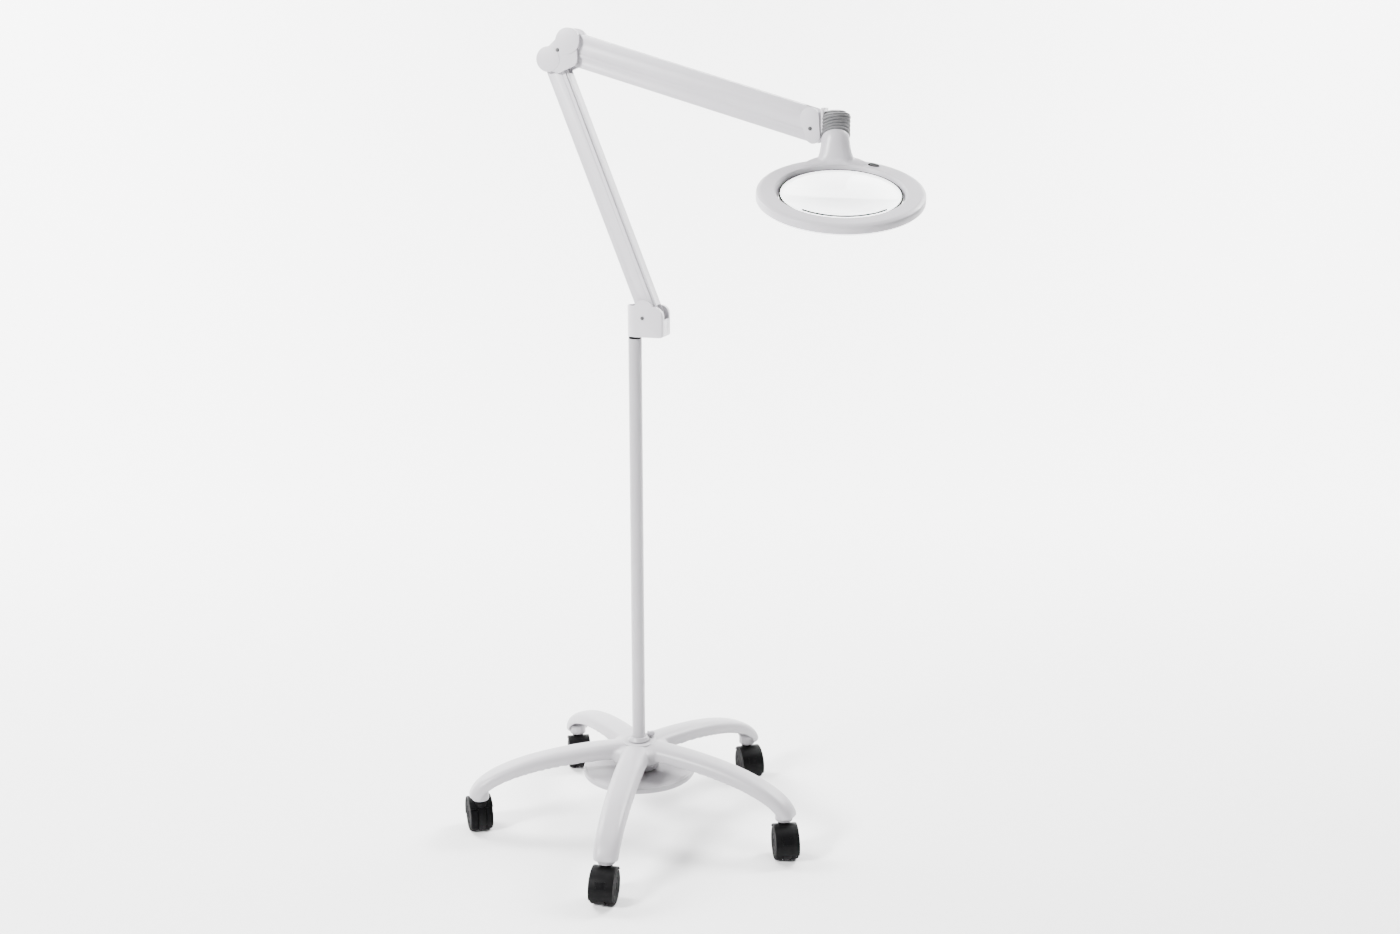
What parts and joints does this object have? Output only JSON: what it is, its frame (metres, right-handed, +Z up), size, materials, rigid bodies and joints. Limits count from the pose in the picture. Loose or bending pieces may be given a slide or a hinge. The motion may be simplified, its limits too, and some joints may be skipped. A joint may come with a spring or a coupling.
{
  "type": "surgical light",
  "caption": "Magnifying examination lamp: a round lit lens on a sprung parallelogram arm with two beams, on a column with a wheeled star base.",
  "frame": {"origin": "on the floor, on the column's axis", "axes": "+Z up along the column, +X towards the lamp's right, -Y towards its front"},
  "size_m": [0.6441, 0.5268, 1.1705],
  "materials": {
    "powder_coat": "light grey powder coat",
    "white_enamel": "smooth light grey enamel",
    "white_plastic": "satin moulded plastic",
    "black_plastic": "satin",
    "castor_plastic": "moulded nylon",
    "grey_rubber": "matt",
    "steel": "turned",
    "glass": "polished",
    "circuit": "white solder mask",
    "opal": "opal diffuser"
  },
  "bodies": {
    "base": {"star_base": "powder_coat", "weight_disc": "powder_coat", "weight_bolt": "steel", "column": "powder_coat", "column_collar": "powder_coat", "collar_screw": "powder_coat", "column_spigot": "black_plastic"},
    "bracket": {"column_bracket": "white_enamel", "bracket_cover_front": "white_enamel", "bracket_cover_rear": "white_enamel", "bracket_main_pin": "steel", "bracket_link_pin": "steel", "bracket_screw": "steel"},
    "lower_arm": {"lower_beam": "white_enamel", "lower_spring": "steel"},
    "lower_parallel": {"lower_link": "white_enamel"},
    "elbow": {"elbow_block": "steel", "elbow_cover_front": "white_enamel", "elbow_cover_rear": "white_enamel", "elbow_lower_pin": "steel", "elbow_lower_link_pin": "steel", "elbow_upper_pin": "steel", "elbow_upper_link_pin": "steel", "elbow_screw": "steel"},
    "upper_arm": {"upper_beam": "white_enamel", "upper_spring": "steel"},
    "upper_parallel": {"upper_link": "white_enamel"},
    "head_mount": {"head_block": "white_enamel", "head_cover_front": "white_enamel", "head_cover_rear": "white_enamel", "head_main_pin": "steel", "head_link_pin": "steel", "head_screw": "steel"},
    "head_fork": {"swivel_yoke": "steel", "tilt_axle": "steel", "bellows": "grey_rubber"},
    "head": {"head_housing": "white_plastic", "tilt_knuckle": "steel", "lens": "glass", "lens_seal": "black_plastic", "lens_keeper": "white_plastic", "led_board": "circuit", "diffuser": "opal"},
    "switch": {"switch_button": "black_plastic"},
    "castor_0": {"castor_housing_0": "castor_plastic", "castor_stem_0": "steel"},
    "castor_wheelset_0": {"castor_wheels_0": "castor_plastic"},
    "castor_1": {"castor_housing_1": "castor_plastic", "castor_stem_1": "steel"},
    "castor_wheelset_1": {"castor_wheels_1": "castor_plastic"},
    "castor_2": {"castor_housing_2": "castor_plastic", "castor_stem_2": "steel"},
    "castor_wheelset_2": {"castor_wheels_2": "castor_plastic"},
    "castor_3": {"castor_housing_3": "castor_plastic", "castor_stem_3": "steel"},
    "castor_wheelset_3": {"castor_wheels_3": "castor_plastic"},
    "castor_4": {"castor_housing_4": "castor_plastic", "castor_stem_4": "steel"},
    "castor_wheelset_4": {"castor_wheels_4": "castor_plastic"}
  },
  "joints": [
    {"name": "bracket_swivel", "type": "hinge", "parent": "base", "child": "bracket", "pos_m": [0, 0, 0.75], "axis": [0, 0, 1], "range_deg": [-175, 175]},
    {"name": "lower_arm_tilt", "type": "hinge", "parent": "bracket", "child": "lower_arm", "pos_m": [0.01788, -0.00581, 0.7868], "axis": [-0.309, -0.9511, 0], "range_deg": [-50, 6]},
    {"name": "lower_parallel_tilt", "type": "hinge", "parent": "bracket", "child": "lower_parallel", "pos_m": [0.03148, -0.01023, 0.7776], "axis": [-0.309, -0.9511, 0], "range_deg": [-51, 7]},
    {"name": "elbow_level", "type": "hinge", "parent": "lower_arm", "child": "elbow", "pos_m": [-0.1122, 0.03646, 1.12876], "axis": [-0.309, -0.9511, 0], "range_deg": [-7, 51]},
    {"name": "upper_arm_tilt", "type": "hinge", "parent": "elbow", "child": "upper_arm", "pos_m": [-0.08414, 0.02734, 1.15286], "axis": [-0.309, -0.9511, 0], "range_deg": [-15, 30]},
    {"name": "upper_parallel_tilt", "type": "hinge", "parent": "elbow", "child": "upper_parallel", "pos_m": [-0.07977, 0.02592, 1.12866], "axis": [-0.309, -0.9511, 0], "range_deg": [-16, 31]},
    {"name": "head_level", "type": "hinge", "parent": "upper_arm", "child": "head_mount", "pos_m": [0.24204, -0.07864, 1.05127], "axis": [-0.309, -0.9511, 0], "range_deg": [-31, 16]},
    {"name": "head_swivel", "type": "hinge", "parent": "head_mount", "child": "head_fork", "pos_m": [0.27105, -0.08807, 1.055], "axis": [0, 0, 1], "range_deg": [-3, 110], "deforming": ["bellows"]},
    {"name": "head_tilt", "type": "hinge", "parent": "head_fork", "child": "head", "pos_m": [0.27105, -0.08807, 1.03597], "axis": [1, 0, 0], "range_deg": [-30, 35], "deforming": ["bellows"]},
    {"name": "switch_press", "type": "slide", "parent": "head", "child": "switch", "axis": [0, 0.342, -0.9397], "range_m": [0, 0.0012], "stiffness_N_per_m": 400, "springref_m": -0.0008},
    {"name": "castor_swivel_0", "type": "hinge", "parent": "base", "child": "castor_0", "pos_m": [-0.0363, -0.23724, 0.053], "axis": [0, 0, 1], "continuous": true},
    {"name": "castor_roll_0", "type": "hinge", "parent": "castor_0", "child": "castor_wheelset_0", "pos_m": [-0.03863, -0.25003, 0.025], "axis": [0.9839, -0.1788, 0], "continuous": true},
    {"name": "castor_swivel_1", "type": "hinge", "parent": "base", "child": "castor_1", "pos_m": [0.21441, -0.10784, 0.053], "axis": [0, 0, 1], "continuous": true},
    {"name": "castor_roll_1", "type": "hinge", "parent": "castor_1", "child": "castor_wheelset_1", "pos_m": [0.21606, -0.12073, 0.025], "axis": [0.9919, 0.1271, 0], "continuous": true},
    {"name": "castor_swivel_2", "type": "hinge", "parent": "base", "child": "castor_2", "pos_m": [0.16881, 0.17059, 0.053], "axis": [0, 0, 1], "continuous": true},
    {"name": "castor_roll_2", "type": "hinge", "parent": "castor_2", "child": "castor_wheelset_2", "pos_m": [0.1724, 0.1581, 0.025], "axis": [0.9613, 0.2756, 0], "continuous": true},
    {"name": "castor_swivel_3", "type": "hinge", "parent": "base", "child": "castor_3", "pos_m": [-0.11008, 0.21327, 0.053], "axis": [0, 0, 1], "continuous": true},
    {"name": "castor_roll_3", "type": "hinge", "parent": "castor_3", "child": "castor_wheelset_3", "pos_m": [-0.10782, 0.20047, 0.025], "axis": [0.9848, 0.1736, 0], "continuous": true},
    {"name": "castor_swivel_4", "type": "hinge", "parent": "base", "child": "castor_4", "pos_m": [-0.23684, -0.03879, 0.053], "axis": [0, 0, 1], "continuous": true},
    {"name": "castor_roll_4", "type": "hinge", "parent": "castor_4", "child": "castor_wheelset_4", "pos_m": [-0.24099, -0.02646, 0.025], "axis": [-0.9478, -0.319, 0], "continuous": true}
  ],
  "couplings": [
    {"joint": "lower_parallel_tilt", "follows": "lower_arm_tilt", "ratio": 1},
    {"joint": "elbow_level", "follows": "lower_arm_tilt", "ratio": -1},
    {"joint": "upper_parallel_tilt", "follows": "upper_arm_tilt", "ratio": 1},
    {"joint": "head_level", "follows": "upper_arm_tilt", "ratio": -1}
  ]
}
